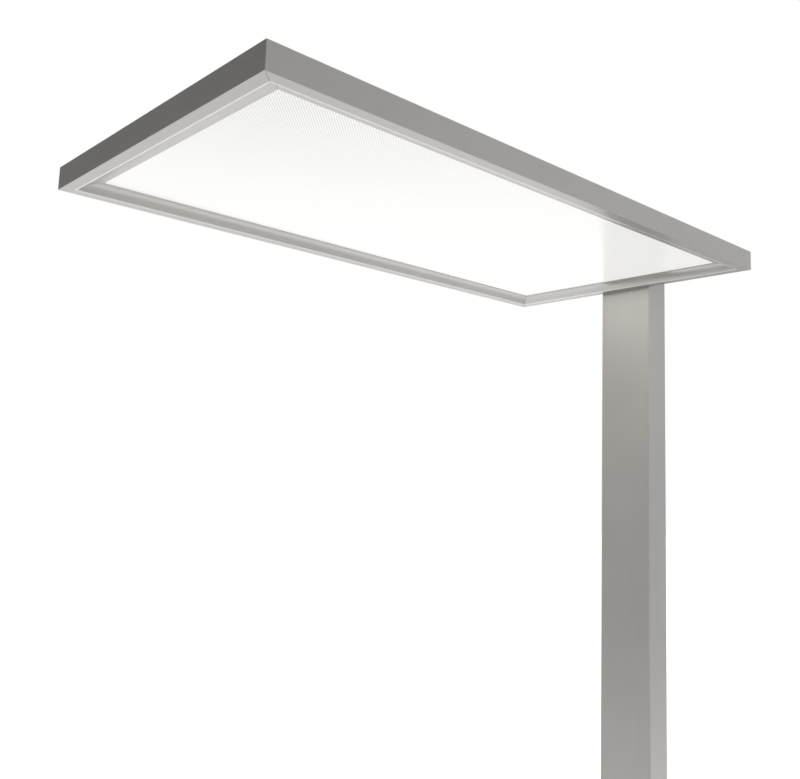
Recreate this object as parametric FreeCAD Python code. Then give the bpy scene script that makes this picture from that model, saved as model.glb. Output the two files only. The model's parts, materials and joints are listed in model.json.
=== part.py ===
import FreeCAD, Part
import math
import os

# An office floor lamp. A flat rectangular light head is held at one short end by a slim
# upright post, which stands on a heavy flat base plate. Sizes are in millimetres.
# The origin is on the floor under the post's centre line. +X points from the post to the
# head's free end, +Y to the head's left side and +Z up.

os.makedirs("parts", exist_ok=True)
V = FreeCAD.Vector

# ---------------------------------------------------------------------------
# Driving dimensions
# ---------------------------------------------------------------------------

# Whole lamp and head outline
overall_height = 1950.0
head_length = 640.0
head_width = 330.0

# Head frame, a mitred aluminium extrusion with a cove round the light panel
rim_width = 12.4
rim_edge_radius = 0.8
cove_angle = 45.0
lip_inset = 28.5
lip_tip_rise = 6.6
panel_recess = 7.4
frame_wall = 2.0
frame_edge_radius = 0.4
ledge_inset = 8.0
ledge_thickness = 1.5
chamber_width = 9.4
chamber_floor = 1.6
chamber_height = 4.2
mitre_gap = 0.1

# Corner keys that join the frame's bars
key_arm = 36.0
key_screw_inset = 24.0
key_screw_spare = 0.5

# Layers inside the head, from the panel upwards
optic_inset = 4.2
prism_thickness = 2.0
guide_thickness = 3.0
reflector_thickness = 0.3
back_plate_thickness = 1.3
bracket_thickness = 4.0
cover_thickness = 1.5
cover_gap = 0.3
cover_screw_shares = [0.08, 0.36, 0.64, 0.92]
cover_end_screw_share = 0.25

# Light strips along the guide's two long edges
strip_board_thickness = 1.0
strip_board_height = 5.0
strip_end_margin = 30.0
strip_tab_length = 12.0
strip_tab_rise = 2.8
package_length = 3.0
package_height = 2.0
package_thickness = 0.6
package_pitch = 20.0

# Foam that holds the layers down on the lip
foam_first = 178.0
foam_end_margin = 14.0
foam_gap = 12.0
foam_count = 5

# Upward light
uplight_start = 186.0
uplight_end_margin = 74.0
uplight_width = 80.0
uplight_board_thickness = 1.6
uplight_rows = 3
uplight_row_pitch = 26.0
uplight_led_pitch = 20.0
uplight_led_height = 0.7
window_margin_x = 16.0
window_width = 150.0
window_flange = 6.0
window_drop = 1.5

# Post, a rectangular aluminium tube
post_width = 68.0
post_depth = 37.0
post_wall = 2.5
post_edge_radius = 1.0
cap_thickness = 2.5

# Steel angle that carries the head, and the block that clamps it in the post
bracket_half_width = 26.0
bracket_reach = 130.0
bracket_drop = 70.0
clamp_screw_half_spacing = 18.0
clamp_screw_drops = [20.0, 52.0]
cap_screw_half_spacing = 12.0
cap_screw_length = 13.0
plate_screw_half_spacing = 16.0
plate_screw_reaches = [60.0, 112.0]
frame_screw_half_spacing = 12.0

# Base
base_length = 430.0
base_width = 330.0
base_thickness = 10.0
base_rear_margin = 60.0
base_corner_radius = 8.0
base_edge_radius = 0.8
underlay_thickness = 2.0
underlay_inset = 4.0
foot_block_height = 45.0
foot_bolt_half_x = 8.5
foot_bolt_half_y = 20.0
foot_bolt_length = 40.0
foot_side_screw_rises = [14.0, 32.0]
foot_side_screw_length = 14.0

# Mains inlet in the post's rear face
inlet_rise = 92.0
inlet_flange_width = 50.0
inlet_flange_height = 24.0
inlet_flange_thickness = 2.0
inlet_flange_radius = 3.0
inlet_body_width = 27.4
inlet_body_height = 20.0
inlet_body_depth = 22.0
inlet_socket_width = 24.6
inlet_socket_height = 16.6
inlet_socket_depth = 17.0
inlet_socket_chamfer = 3.5
inlet_pin_width = 2.0
inlet_pin_height = 4.0
inlet_pin_setback = 1.0
inlet_pin_spacing = 7.0
inlet_pin_offset = 2.0
inlet_tab_length = 6.0
inlet_screw_half_spacing = 20.0
boot_depth = 10.0
boot_width = 24.0
boot_height = 17.0

# Driver and its tray
tray_below_panel = 85.0
tray_length = 430.0
tray_width = 56.0
tray_thickness = 1.2
tray_screw_inset = 14.0
nut_radius = 4.5
nut_height = 3.0
driver_length = 340.0
driver_width = 30.0
driver_depth = 21.0
driver_edge_radius = 1.5
driver_lug_length = 14.0
driver_lug_thickness = 1.5

# Push-button panel in the post's front face
control_height = 1150.0
bezel_width = 28.0
bezel_height = 74.0
bezel_thickness = 1.5
bezel_edge_radius = 2.0
skirt_width = 24.0
skirt_height = 70.0
skirt_depth = 8.5
skirt_wall = 1.5
snap_height = 10.0
snap_proud = 0.8
snap_depth = 2.0
button_side = 16.0
button_corner_radius = 2.5
button_proud = 1.2
button_travel = 1.0
button_spacing = 36.0
button_gap = 0.3
button_flange = 1.2
button_flange_thickness = 1.0
switch_side = 6.0
switch_height = 3.5
plunger_radius = 1.75
plunger_rise = 1.1
plunger_depth = 0.6
board_thickness = 1.6
board_boss_radius = 2.4
board_boss_rise = 30.4
board_screw_length = 6.0

# Leads inside the lamp
mains_lead_diameter = 6.5
led_lead_diameter = 3.8
control_lead_diameter = 3.2
wire_diameter = 1.2
mains_bend_drops = [110.0, 45.0]
led_exit_y = 9.0
led_bend_rises = [35.0, 100.0]
led_rear_y = 22.0
led_bend_drops = [170.0, 110.0]
led_top_x = -1.0
led_lead_y = 29.0
led_lead_head_bend = 13.0
control_exit_y = -7.0
control_bend_drop = 35.0
control_bend_rise = 40.0
feed_half_spacing = 4.0
connector_start = 150.0
connector_length = 20.0
connector_width = 18.0
connector_height = 3.6
clip_height = 12.0
clip_wall = 2.0
led_clip_base = 4.5
mains_clip_count = 2
led_clip_drops = [228.0, 448.0, 668.0]

# Fasteners, by thread diameter, and fits
m2 = 2.0
m2_5 = 2.5
m3 = 3.0
m4 = 4.0
m5 = 5.0
m6 = 6.0
m8 = 8.0
head_to_thread = 0.95
socket_to_thread = 0.32
screw_clearance = 0.05
fit_clearance = 0.1
slot_clearance = 0.2
cut_margin = 1.0

# ---------------------------------------------------------------------------
# Levels and faces worked out from the driving dimensions
# ---------------------------------------------------------------------------

prism_top = panel_recess + prism_thickness
guide_top = prism_top + guide_thickness
reflector_top = guide_top + reflector_thickness
back_plate_top = reflector_top + back_plate_thickness
ledge_bottom = back_plate_top + bracket_thickness
ledge_top = ledge_bottom + ledge_thickness
head_height = ledge_top + cover_thickness

head_bottom = overall_height - head_height
post_front = post_depth / 2
post_half = post_width / 2
inner_front = post_front - post_wall
inner_half = post_half - post_wall
head_start = post_front
head_end = head_start + head_length
head_half = head_width / 2

base_bottom = underlay_thickness
base_top = base_bottom + base_thickness
base_rear = -post_front - base_rear_margin
base_front = base_rear + base_length
post_top = overall_height - cap_thickness

uplight_length = head_length - uplight_start - uplight_end_margin
foam_pitch = (head_length - foam_first - foam_end_margin + foam_gap) / foam_count
foam_length = foam_pitch - foam_gap
tray_top = control_height - skirt_height / 2 - tray_below_panel
driver_bottom = tray_top - tray_length / 2 - driver_length / 2


# ---------------------------------------------------------------------------
# Shapes that several pieces use
# ---------------------------------------------------------------------------

def save(node, *solids):
    """Write one sub-part. Like pieces share a file as separate solids."""
    shape = solids[0] if len(solids) == 1 else Part.makeCompound(list(solids))
    shape.exportStep("parts/" + node + ".step")


def box(x_range, y_range, z_range):
    """Block between three pairs of limits, given in either order."""
    lows = [min(pair) for pair in (x_range, y_range, z_range)]
    highs = [max(pair) for pair in (x_range, y_range, z_range)]
    sides = [high - low for low, high in zip(lows, highs)]
    return Part.makeBox(sides[0], sides[1], sides[2], V(lows[0], lows[1], lows[2]))


def centred(middle, width):
    """The two limits of a width about its middle."""
    return (middle - width / 2, middle + width / 2)


def rounded_block(x_range, y_range, z_range, radius, along):
    """Block whose four edges along one direction are rounded."""
    block = box(x_range, y_range, z_range)
    edges = [edge for edge in block.Edges
             if abs(edge.tangentAt(edge.FirstParameter).dot(along)) > 0.99]
    return block.makeFillet(radius, edges)


def turned_to(shape, seat, direction):
    """Move a shape built along -Z from the origin to its seat and direction."""
    placed = shape.copy()
    placed.Placement = FreeCAD.Placement(seat, FreeCAD.Rotation(V(0, 0, -1), direction))
    return placed


def screw_body(thread, length, extra):
    """Countersunk head and shank along -Z, each grown by extra for a hole."""
    head = thread * head_to_thread + extra
    shank = thread / 2 + extra
    cone = Part.makeCone(head, shank, head - shank, V(0, 0, 0), V(0, 0, -1))
    return cone.fuse(Part.makeCylinder(shank, length, V(0, 0, 0), V(0, 0, -1)))


def hex_socket(thread):
    """Hexagonal recess in a screw head."""
    radius = thread * socket_to_thread
    corners = [V(radius * math.cos(math.radians(60 * k)),
                 radius * math.sin(math.radians(60 * k)), 0) for k in range(7)]
    return Part.Face(Part.makePolygon(corners)).extrude(V(0, 0, -radius))


def screw(seat, direction, thread, length):
    """Countersunk screw with a hexagonal socket, its head flush at the seat."""
    body = screw_body(thread, length, 0).cut(hex_socket(thread))
    return turned_to(body, seat, direction)


def screw_hole(seat, direction, thread, length):
    """What is cut away for a countersunk screw."""
    body = screw_body(thread, length + fit_clearance, screw_clearance)
    return turned_to(body, seat, direction)


def cut_all(shape, cutters):
    """Cut several tools from a shape."""
    for cutter in cutters:
        shape = shape.cut(cutter)
    return shape


def lead(name, points, diameter, widest_bend=None):
    """Round lead along straight runs joined by tangent arcs, with square ends.

    Each arc is as large as its two runs allow, or as a tight corner leaves room for.
    """
    edges = []
    radii = []
    start = points[0]
    for before, corner, after in zip(points, points[1:], points[2:]):
        incoming = (corner - before).normalize()
        outgoing = (after - corner).normalize()
        half_turn = incoming.getAngle(outgoing) / 2
        shorter = min((corner - before).Length, (after - corner).Length)
        radius = 0.45 * shorter / math.tan(half_turn)
        if widest_bend is not None and half_turn > math.pi / 5:
            radius = min(radius, widest_bend)
        setback = radius * math.tan(half_turn)
        towards_centre = (outgoing - incoming).normalize()
        arc_start = corner - incoming * setback
        arc_middle = corner + towards_centre * (radius / math.cos(half_turn) - radius)
        arc_end = corner + outgoing * setback
        edges.append(Part.LineSegment(start, arc_start).toShape())
        edges.append(Part.Arc(arc_start, arc_middle, arc_end).toShape())
        radii.append(round(radius, 1))
        start = arc_end
    edges.append(Part.LineSegment(start, points[-1]).toShape())
    path = Part.Wire(edges)
    section = Part.Wire([Part.makeCircle(diameter / 2, points[0], points[1] - points[0])])
    solid = path.makePipeShell([section], True, False)
    expected = math.pi * diameter ** 2 / 4 * path.Length
    print(name, "length", round(path.Length, 1), "radii", radii,
          "volume share", round(solid.Volume / expected, 4))
    return solid


# ---------------------------------------------------------------------------
# Head frame
# ---------------------------------------------------------------------------

def cove_points():
    """Start of the convex rim edge, its middle and end, and the cove's middle and tip."""
    slope = math.radians(cove_angle)
    rim_end = V(0, rim_width - rim_edge_radius, 0)
    centre = rim_end + V(0, 0, rim_edge_radius)
    turn_middle = centre + V(0, math.sin(slope / 2), -math.cos(slope / 2)) * rim_edge_radius
    turn_end = centre + V(0, math.sin(slope), -math.cos(slope)) * rim_edge_radius
    tip = V(0, lip_inset, lip_tip_rise)
    chord = tip - turn_end
    half_bend = slope - math.atan2(chord.z, chord.y)
    sagitta = chord.Length / 2 * math.tan(half_bend / 2)
    across = V(0, -chord.z, chord.y).normalize()
    cove_middle = turn_end + chord * 0.5 + across * sagitta
    return rim_end, turn_middle, turn_end, cove_middle, tip


def frame_section():
    """Section of a frame bar: Y is the distance in from its outer face, Z its height."""
    rim_end, turn_middle, turn_end, cove_middle, tip = cove_points()
    edge = frame_edge_radius
    inner = [
        tip,
        V(0, lip_inset, panel_recess),
        V(0, frame_wall, panel_recess),
        V(0, frame_wall, ledge_bottom),
        V(0, ledge_inset, ledge_bottom),
        V(0, ledge_inset, ledge_top),
        V(0, frame_wall, ledge_top),
        V(0, frame_wall, head_height),
        V(0, edge, head_height),
    ]
    edges = [
        Part.LineSegment(V(0, edge, 0), rim_end).toShape(),
        Part.Arc(rim_end, turn_middle, turn_end).toShape(),
        Part.Arc(turn_end, cove_middle, tip).toShape(),
    ]
    edges += [Part.LineSegment(a, b).toShape() for a, b in zip(inner, inner[1:])]
    upper = V(0, 0, head_height - edge)
    lower = V(0, 0, edge)
    middle = edge * (1 - math.cos(math.radians(45)))
    edges += [
        Part.Arc(inner[-1], V(0, middle, head_height - middle), upper).toShape(),
        Part.LineSegment(upper, lower).toShape(),
        Part.Arc(lower, V(0, middle, middle), V(0, edge, 0)).toShape(),
    ]
    return Part.Face(Part.Wire(edges))


def frame_bar(length):
    """Mitred bar along +X, its outer face at Y = 0 and its rim at Z = 0."""
    bar = frame_section().extrude(V(length, 0, 0))
    chamber_ceiling = chamber_floor + chamber_height
    chamber = box((0, length), (frame_wall, frame_wall + chamber_width),
                  (chamber_floor, chamber_ceiling))
    shift = mitre_gap / math.sqrt(2)
    reach = lip_inset + cut_margin
    outline = [V(shift, 0, -cut_margin), V(length - shift, 0, -cut_margin),
               V(length - shift - reach, reach, -cut_margin),
               V(shift + reach, reach, -cut_margin)]
    mitred = Part.Face(Part.makePolygon(outline + outline[:1]))
    return bar.cut(chamber).common(mitred.extrude(V(0, 0, head_height + cut_margin * 2)))


def placed_bar(length, x, y, degrees):
    """Frame bar turned about Z and moved to its side of the head."""
    bar = frame_bar(length)
    turn = FreeCAD.Rotation(V(0, 0, 1), degrees)
    bar.Placement = FreeCAD.Placement(V(x, y, head_bottom), turn)
    return bar


def head_corners():
    """The head's four outer corners, each with its inward directions in X and Y."""
    return [(head_start, -head_half, 1, 1), (head_start, head_half, 1, -1),
            (head_end, -head_half, -1, 1), (head_end, head_half, -1, -1)]


def corner_key(x, y, into_x, into_y):
    """Angle block pressed into the chambers of two bars at a corner."""
    near = frame_wall + fit_clearance
    far = frame_wall + chamber_width - fit_clearance
    z_range = (head_bottom + chamber_floor + fit_clearance,
               head_bottom + chamber_floor + chamber_height - fit_clearance)
    along_x = box((x + into_x * near, x + into_x * key_arm),
                  (y + into_y * near, y + into_y * far), z_range)
    along_y = box((x + into_x * near, x + into_x * far),
                  (y + into_y * near, y + into_y * key_arm), z_range)
    return along_x.fuse(along_y).removeSplitter()


def key_screw_seats():
    """Places of the screws that hold the keys, on the shelf over each chamber."""
    middle = frame_wall + chamber_width / 2
    z = head_bottom + panel_recess
    seats = []
    for x, y, into_x, into_y in head_corners():
        seats.append(V(x + into_x * key_screw_inset, y + into_y * middle, z))
        seats.append(V(x + into_x * middle, y + into_y * key_screw_inset, z))
    return seats


def cover_screw_seats():
    """Places of the screws along the top cover's edge, over the frame's ledge."""
    inset = (frame_wall + ledge_inset) / 2
    z = head_bottom + head_height
    along_x = [head_start + head_length * share for share in cover_screw_shares]
    along_y = [side * head_width * cover_end_screw_share for side in (-1, 1)]
    seats = [V(x, side * (head_half - inset), z) for x in along_x for side in (-1, 1)]
    seats += [V(head_start + inset, y, z) for y in along_y]
    seats += [V(head_end - inset, y, z) for y in along_y]
    return seats


def frame_screw_seats():
    """Places of the screws through the ledge into the steel bracket."""
    x = head_start + (frame_wall + ledge_inset) / 2
    z = head_bottom + ledge_top
    return [V(x, side * frame_screw_half_spacing, z) for side in (-1, 1)]


DOWN = V(0, 0, -1)
UP = V(0, 0, 1)
FORWARD = V(1, 0, 0)
key_screw_length = panel_recess - chamber_floor - key_screw_spare
cover_screw_length = cover_thickness + ledge_thickness
frame_screw_length = ledge_thickness + bracket_thickness

key_holes = [screw_hole(seat, DOWN, m2_5, key_screw_length) for seat in key_screw_seats()]
cover_holes = [screw_hole(seat, DOWN, m3, cover_screw_length)
               for seat in cover_screw_seats()]
frame_holes = [screw_hole(seat, DOWN, m3, frame_screw_length)
               for seat in frame_screw_seats()]

# One slot through the post's front wall and the frame's end lets the bracket and the
# lead into the head.
lead_slot_edge = led_lead_y + led_lead_diameter / 2 + slot_clearance
slot_y = (-bracket_half_width - slot_clearance, lead_slot_edge)
slot_bottom = head_bottom + back_plate_top - fit_clearance
bracket_slot = box((head_start - fit_clearance, head_start + frame_wall + fit_clearance),
                   slot_y, (slot_bottom, head_bottom + ledge_bottom))

side_right = placed_bar(head_length, head_start, -head_half, 0)
side_left = placed_bar(head_length, head_end, head_half, 180)
end_free = placed_bar(head_width, head_end, -head_half, 90)
end_post = placed_bar(head_width, head_start, head_half, -90)
bar_holes = key_holes + cover_holes
save("frame_side_right", cut_all(side_right, bar_holes))
save("frame_side_left", cut_all(side_left, bar_holes))
save("frame_end_free", cut_all(end_free, bar_holes))
save("frame_end_post", cut_all(end_post, bar_holes + frame_holes + [bracket_slot]))
save("corner_keys", *[cut_all(corner_key(*corner), key_holes) for corner in head_corners()])
save("corner_key_screws", *[screw(seat, DOWN, m2_5, key_screw_length)
                            for seat in key_screw_seats()])


# ---------------------------------------------------------------------------
# Optical layers of the head
# ---------------------------------------------------------------------------

def head_sheet(inset, low, high):
    """Flat layer that fills the frame to an inset, between two levels of the head."""
    return box((head_start + inset, head_end - inset),
               (-head_half + inset, head_half - inset),
               (head_bottom + low, head_bottom + high))


def pattern(first, last, pitch):
    """Evenly pitched places that are centred between two ends."""
    count = int((last - first) / pitch) + 1
    spare = (last - first) - (count - 1) * pitch
    return [first + spare / 2 + pitch * index for index in range(count)]


bracket_end = head_start + bracket_reach
plate_screw_seats = [V(head_start + reach, side * plate_screw_half_spacing,
                       head_bottom + ledge_bottom)
                     for reach in plate_screw_reaches for side in (-1, 1)]
plate_screw_length = bracket_thickness + back_plate_thickness
plate_holes = [screw_hole(seat, DOWN, m4, plate_screw_length - fit_clearance)
               for seat in plate_screw_seats]

save("prism_panel", head_sheet(optic_inset, panel_recess, prism_top))
save("light_guide", head_sheet(optic_inset, prism_top, guide_top))
save("reflector_sheet", head_sheet(optic_inset, guide_top, reflector_top))
save("back_plate", cut_all(head_sheet(optic_inset, reflector_top, back_plate_top),
                           plate_holes))

# Light strips stand on the frame's long walls and shine into the guide's edges.
strip_start = head_start + connector_start + connector_length / 2 - strip_tab_length / 2
strip_board_low = (prism_top + guide_top) / 2 - strip_board_height / 2
strip_board_high = strip_board_low + strip_board_height
strip_x = (head_start + strip_end_margin, head_end - strip_end_margin)


def strip_board(side):
    """Narrow circuit board on a long wall, with a tab where its wire ends."""
    wall = side * (head_half - frame_wall)
    face = wall - side * strip_board_thickness
    board = box(strip_x, (wall, face),
                (head_bottom + strip_board_low, head_bottom + strip_board_high))
    tab_top = strip_board_high + strip_tab_rise
    tab = box((strip_start, strip_start + strip_tab_length), (wall, face),
              (head_bottom + strip_board_high, head_bottom + tab_top))
    return board.fuse(tab).removeSplitter()


def strip_packages(side):
    """Light-emitting packages in a row on one strip board."""
    face = side * (head_half - frame_wall - strip_board_thickness)
    middle = head_bottom + (prism_top + guide_top) / 2
    places = pattern(strip_x[0] + package_pitch, strip_x[1] - package_pitch, package_pitch)
    return [box(centred(x, package_length), (face, face - side * package_thickness),
                centred(middle, package_height)) for x in places]


save("led_strip_right", strip_board(-1))
save("led_strip_left", strip_board(1))
save("led_packages", *(strip_packages(-1) + strip_packages(1)))


def foam_strip(start, side):
    """Foam between the back plate and the ledge over a long side."""
    outer = side * (head_half - optic_inset - fit_clearance)
    inner = side * (head_half - ledge_inset)
    return box((start, start + foam_length), (outer, inner),
               (head_bottom + back_plate_top, head_bottom + ledge_bottom))


def clear_of_screws(foam):
    """Foam with a hole where a cover screw's tip comes through the ledge."""
    return cut_all(foam, cover_holes)


foam_starts = [head_start + foam_first + foam_pitch * index for index in range(foam_count)]
save("foam_strips", *[clear_of_screws(foam_strip(start, side))
                      for start in foam_starts for side in (-1, 1)])

# Upward light: one board of packages under an opal window in the top cover.
uplight_x = (head_start + uplight_start, head_start + uplight_start + uplight_length)
uplight_board_top = head_bottom + back_plate_top + uplight_board_thickness
save("uplight_board", box(uplight_x, centred(0, uplight_width),
                          (head_bottom + back_plate_top, uplight_board_top)))


def uplight_packages():
    """Rows of packages that shine upwards."""
    across = uplight_row_pitch * (uplight_rows - 1)
    rows = [-across / 2 + uplight_row_pitch * row for row in range(uplight_rows)]
    places = pattern(uplight_x[0] + uplight_led_pitch / 2,
                     uplight_x[1] - uplight_led_pitch / 2, uplight_led_pitch)
    z_range = (uplight_board_top, uplight_board_top + uplight_led_height)
    return [box(centred(x, package_length), centred(y, package_length), z_range)
            for x in places for y in rows]


save("uplight_leds", *uplight_packages())

window_x = (uplight_x[0] - window_margin_x, uplight_x[1] + window_margin_x)
window_y = centred(0, window_width)


def grown(limits, amount):
    """Limits moved apart by an amount at each end."""
    return (limits[0] - amount, limits[1] + amount)


def top_window():
    """Opal window, flush in the cover with a flange under it."""
    pane = box(grown(window_x, -cover_gap), grown(window_y, -cover_gap),
               (head_bottom + ledge_top - window_drop, head_bottom + head_height))
    flange = box(grown(window_x, window_flange), grown(window_y, window_flange),
                 (head_bottom + ledge_top - window_drop, head_bottom + ledge_top))
    return pane.fuse(flange).removeSplitter()


def top_cover():
    """Sheet that closes the head's top inside the frame's rim."""
    sheet = head_sheet(frame_wall + cover_gap, ledge_top, head_height)
    cutout = box(window_x, window_y,
                 (head_bottom + ledge_top - cut_margin,
                  head_bottom + head_height + cut_margin))
    return cut_all(sheet, [cutout] + cover_holes)


save("top_window", top_window())
save("top_cover", top_cover())
save("top_cover_screws", *[screw(seat, DOWN, m3, cover_screw_length)
                           for seat in cover_screw_seats()])


# ---------------------------------------------------------------------------
# Head carrier: steel bracket, clamp block, cap and their screws
# ---------------------------------------------------------------------------

leg_back = inner_front - fit_clearance - bracket_thickness
clamp_bottom = post_top - bracket_drop
clamp_seats = [V(-post_front, side * clamp_screw_half_spacing, post_top - drop)
               for drop in clamp_screw_drops for side in (-1, 1)]
clamp_screw_length = post_front + leg_back + bracket_thickness - fit_clearance
clamp_holes = [screw_hole(seat, FORWARD, m5, clamp_screw_length) for seat in clamp_seats]
cap_screw_seats = [V(0, side * cap_screw_half_spacing, overall_height) for side in (-1, 1)]
cap_holes = [screw_hole(seat, DOWN, m4, cap_screw_length) for seat in cap_screw_seats]


def head_bracket():
    """Steel angle: one leg hangs in the post, the other reaches into the head."""
    y_range = centred(0, bracket_half_width * 2)
    level = (head_bottom + back_plate_top, head_bottom + ledge_bottom)
    reach = box((leg_back, bracket_end), y_range, level)
    drop = box((leg_back, leg_back + bracket_thickness), y_range, (clamp_bottom, level[1]))
    angle = reach.fuse(drop).removeSplitter()
    return cut_all(angle, clamp_holes + frame_holes + plate_holes)


def post_top_block():
    """Aluminium block that the bracket's leg is clamped against."""
    block = box((-inner_front + fit_clearance, leg_back),
                centred(0, (inner_half - slot_clearance) * 2), (clamp_bottom, post_top))
    lead_side = led_lead_y - led_lead_diameter / 2 - slot_clearance
    channel = box((-led_lead_head_bend, leg_back + cut_margin), (lead_side, inner_half),
                  (clamp_bottom - cut_margin, post_top + cut_margin))
    return cut_all(block, clamp_holes + cap_holes + [channel])


save("head_bracket", head_bracket())
save("post_top_block", post_top_block())
save("bracket_plate_screws", *[screw(seat, DOWN, m4, plate_screw_length)
                               for seat in plate_screw_seats])
save("bracket_frame_screws", *[screw(seat, DOWN, m3, frame_screw_length)
                               for seat in frame_screw_seats()])
save("head_clamp_screws", *[screw(seat, FORWARD, m5, clamp_screw_length)
                            for seat in clamp_seats])

post_cap = rounded_block((-post_front, post_front), (-post_half, post_half),
                         (post_top, overall_height), post_edge_radius, UP)
save("post_cap", cut_all(post_cap, cap_holes))
save("cap_screws", *[screw(seat, DOWN, m4, cap_screw_length) for seat in cap_screw_seats])


# ---------------------------------------------------------------------------
# Post tube, with its cutouts
# ---------------------------------------------------------------------------

tray_front = -inner_front + tray_thickness
tray_z = (tray_top - tray_length, tray_top)
tray_screw_heights = [tray_z[0] + tray_screw_inset, tray_z[1] - tray_screw_inset]
tray_seats = [V(-post_front, 0, z) for z in tray_screw_heights]
tray_screw_length = post_wall + tray_thickness + nut_height
tray_holes = [screw_hole(seat, FORWARD, m4, tray_screw_length) for seat in tray_seats]

inlet_z = base_top + inlet_rise
inlet_face = -post_front - inlet_flange_thickness
inlet_seats = [V(inlet_face, side * inlet_screw_half_spacing, inlet_z) for side in (-1, 1)]
inlet_screw_length = inlet_flange_thickness + post_wall
inlet_holes = [screw_hole(seat, FORWARD, m3, inlet_screw_length) for seat in inlet_seats]

foot_side_seats = [V(-post_front, 0, base_top + rise) for rise in foot_side_screw_rises]
foot_side_holes = [screw_hole(seat, FORWARD, m6, foot_side_screw_length)
                   for seat in foot_side_seats]


def post_tube():
    """Rectangular tube with openings for the head, the buttons and the mains inlet."""
    outer = rounded_block((-post_front, post_front), (-post_half, post_half),
                          (base_top, post_top), post_edge_radius, UP)
    bore = box((-inner_front, inner_front), (-inner_half, inner_half),
               (base_top - cut_margin, post_top + cut_margin))
    front_wall = (inner_front - cut_margin, post_front + cut_margin)
    rear_wall = (-post_front - cut_margin, -inner_front + cut_margin)
    head_slot = box(front_wall, slot_y, (slot_bottom, post_top + cut_margin))
    button_cutout = box(front_wall,
                        centred(0, skirt_width + fit_clearance * 2),
                        centred(control_height, skirt_height + fit_clearance * 2))
    inlet_cutout = box(rear_wall,
                       centred(0, inlet_body_width + fit_clearance * 2),
                       centred(inlet_z, inlet_body_height + fit_clearance * 2))
    cutters = [bore, head_slot, button_cutout, inlet_cutout]
    return cut_all(outer, cutters + clamp_holes + tray_holes + inlet_holes + foot_side_holes)


save("post_tube", post_tube())


# ---------------------------------------------------------------------------
# Base: plate, underlay, foot block and bolts
# ---------------------------------------------------------------------------

foot_bolt_seats = [V(side_x * foot_bolt_half_x, side_y * foot_bolt_half_y, base_bottom)
                   for side_x in (-1, 1) for side_y in (-1, 1)]
foot_bolt_holes = [screw_hole(seat, UP, m8, foot_bolt_length) for seat in foot_bolt_seats]


def base_plate():
    """Flat steel plate with rounded corners and a softened top edge."""
    plate = rounded_block((base_rear, base_front), centred(0, base_width),
                          (base_bottom, base_top), base_corner_radius, UP)
    top_edges = [edge for edge in plate.Edges
                 if all(abs(vertex.Z - base_top) < 0.001 for vertex in edge.Vertexes)]
    return cut_all(plate.makeFillet(base_edge_radius, top_edges), foot_bolt_holes)


def base_underlay():
    """Thin rubber sheet that the plate stands on."""
    return rounded_block((base_rear + underlay_inset, base_front - underlay_inset),
                         centred(0, base_width - underlay_inset * 2), (0, base_bottom),
                         base_corner_radius - underlay_inset / 2, UP)


def foot_block():
    """Steel block bolted to the plate, over which the post is slid."""
    block = box(centred(0, (inner_front - fit_clearance) * 2),
                centred(0, (inner_half - fit_clearance) * 2),
                (base_top, base_top + foot_block_height))
    return cut_all(block, foot_bolt_holes + foot_side_holes)


save("base_plate", base_plate())
save("base_underlay", base_underlay())
save("foot_block", foot_block())
save("foot_bolts", *[screw(seat, UP, m8, foot_bolt_length) for seat in foot_bolt_seats])
save("foot_side_screws", *[screw(seat, FORWARD, m6, foot_side_screw_length)
                           for seat in foot_side_seats])


# ---------------------------------------------------------------------------
# Mains inlet
# ---------------------------------------------------------------------------

inlet_back = -post_front + inlet_body_depth
inlet_pin_places = [(-inlet_pin_spacing, -inlet_pin_offset), (0, inlet_pin_offset),
                    (inlet_pin_spacing, -inlet_pin_offset)]


def inlet_socket():
    """The hollow that takes the mains connector, with two cut-off upper corners."""
    half = inlet_socket_width / 2
    low = inlet_z - inlet_socket_height / 2
    high = inlet_z + inlet_socket_height / 2
    cut = inlet_socket_chamfer
    x = inlet_face - cut_margin
    outline = [V(x, -half, low), V(x, half, low), V(x, half, high - cut),
               V(x, half - cut, high), V(x, -half + cut, high), V(x, -half, high - cut)]
    mouth = Part.Face(Part.makePolygon(outline + outline[:1]))
    return mouth.extrude(V(inlet_socket_depth + cut_margin, 0, 0))


def inlet_pin(y, z, spare):
    """Flat blade that runs from the socket through the body to a rear tab."""
    start = inlet_face + inlet_pin_setback
    return box((start, inlet_back + inlet_tab_length + spare),
               centred(y, inlet_pin_width + spare * 2),
               centred(inlet_z + z, inlet_pin_height + spare * 2))


def inlet_body():
    """Moulded inlet with its flange outside the post's rear wall."""
    flange = rounded_block((inlet_face, -post_front), centred(0, inlet_flange_width),
                           centred(inlet_z, inlet_flange_height), inlet_flange_radius,
                           FORWARD)
    shell = box((-post_front, inlet_back), centred(0, inlet_body_width),
                centred(inlet_z, inlet_body_height))
    pins = [inlet_pin(y, z, 0) for y, z in inlet_pin_places]
    return cut_all(flange.fuse(shell), [inlet_socket()] + pins + inlet_holes)


def inlet_boot():
    """Insulating boot over the inlet's rear tabs, where the mains lead ends."""
    block = box((inlet_back + fit_clearance, inlet_back + boot_depth),
                centred(0, boot_width), centred(inlet_z, boot_height))
    return cut_all(block, [inlet_pin(y, z, fit_clearance) for y, z in inlet_pin_places])


save("inlet_body", inlet_body())
save("inlet_pins", *[inlet_pin(y, z, 0) for y, z in inlet_pin_places])
save("inlet_screws", *[screw(seat, FORWARD, m3, inlet_screw_length) for seat in inlet_seats])
save("inlet_boot", inlet_boot())


# ---------------------------------------------------------------------------
# Driver on its tray
# ---------------------------------------------------------------------------

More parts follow.
